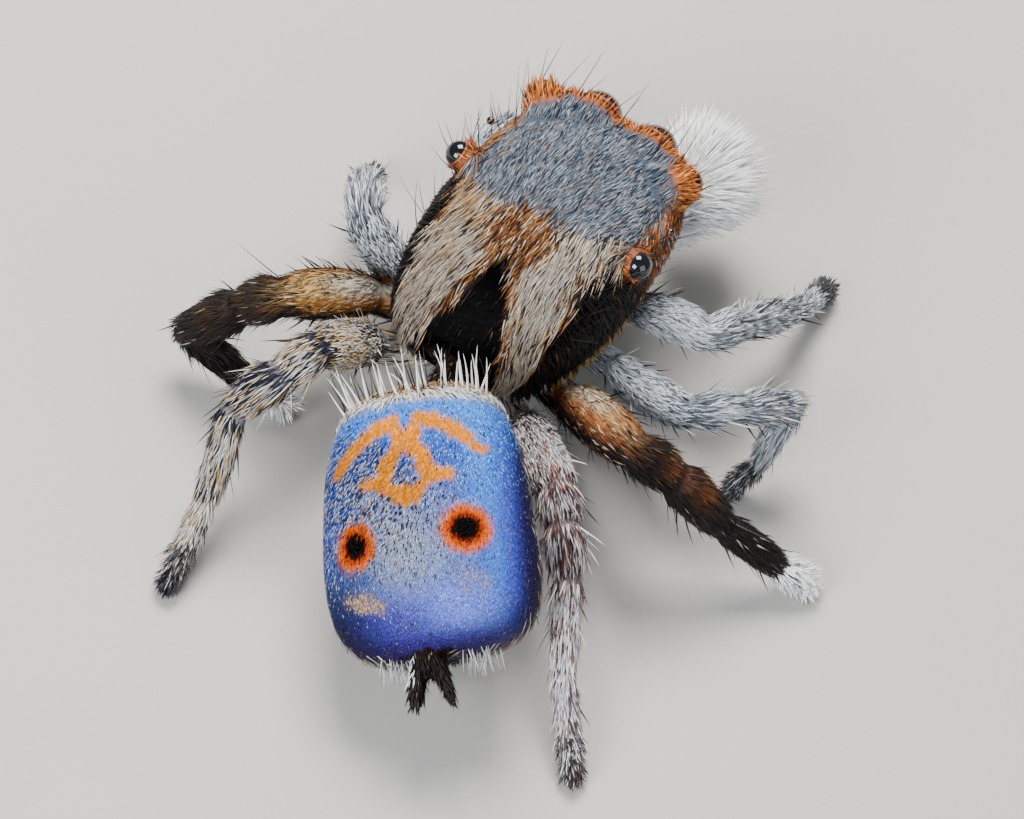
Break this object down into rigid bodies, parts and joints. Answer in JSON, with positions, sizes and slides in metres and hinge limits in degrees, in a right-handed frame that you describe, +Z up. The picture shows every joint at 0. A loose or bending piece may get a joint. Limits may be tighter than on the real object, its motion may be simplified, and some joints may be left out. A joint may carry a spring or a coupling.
{
  "type": "peacock spider",
  "caption": "Male peacock jumping spider, life size, standing still with its bright blue and orange abdomen swung to its right",
  "frame": {"origin": "centre of the model's box, on the floor it stands on", "axes": "+Z up, -Y the way the head faces, +X to the spider's left"},
  "size_m": [0.005, 0.0058, 0.002],
  "materials": {
    "head_coat": "short slate-blue, cream and orange hair over black cuticle",
    "abdomen_coat": "iridescent blue scales with an orange mark",
    "cuticle": "satin black-brown cuticle",
    "white_hair": "long white hair",
    "eye": "gloss",
    "pale_leg_coat": "cream and black streaked hair",
    "dark_leg_coat": "dark brown hair with yellow and orange streaks"
  },
  "bodies": {
    "root": {"prosoma": "head_coat", "opisthosoma": "abdomen_coat", "spinnerets": "cuticle", "chelicera_left": "cuticle", "chelicera_right": "cuticle", "palp_left": "white_hair", "palp_right": "white_hair", "eye_front_middle_left": "eye", "eye_front_middle_right": "eye", "eye_front_side_left": "eye", "eye_front_side_right": "eye", "eye_rear_middle_left": "eye", "eye_rear_middle_right": "eye", "eye_rear_side_left": "eye", "eye_rear_side_right": "eye", "leg1_left_femur": "pale_leg_coat", "leg1_left_shank": "pale_leg_coat", "leg1_left_foot": "pale_leg_coat", "leg1_right_femur": "pale_leg_coat", "leg1_right_shank": "pale_leg_coat", "leg1_right_foot": "pale_leg_coat", "leg2_left_femur": "pale_leg_coat", "leg2_left_shank": "pale_leg_coat", "leg2_left_foot": "pale_leg_coat", "leg2_right_femur": "pale_leg_coat", "leg2_right_shank": "pale_leg_coat", "leg2_right_foot": "pale_leg_coat", "leg3_left_femur": "dark_leg_coat", "leg3_left_shank": "dark_leg_coat", "leg3_left_foot": "white_hair", "leg3_right_femur": "dark_leg_coat", "leg3_right_shank": "dark_leg_coat", "leg3_right_foot": "white_hair", "leg4_left_femur": "pale_leg_coat", "leg4_left_shank": "pale_leg_coat", "leg4_left_foot": "pale_leg_coat", "leg4_right_femur": "pale_leg_coat", "leg4_right_shank": "pale_leg_coat", "leg4_right_foot": "pale_leg_coat"}
  },
  "joints": []
}
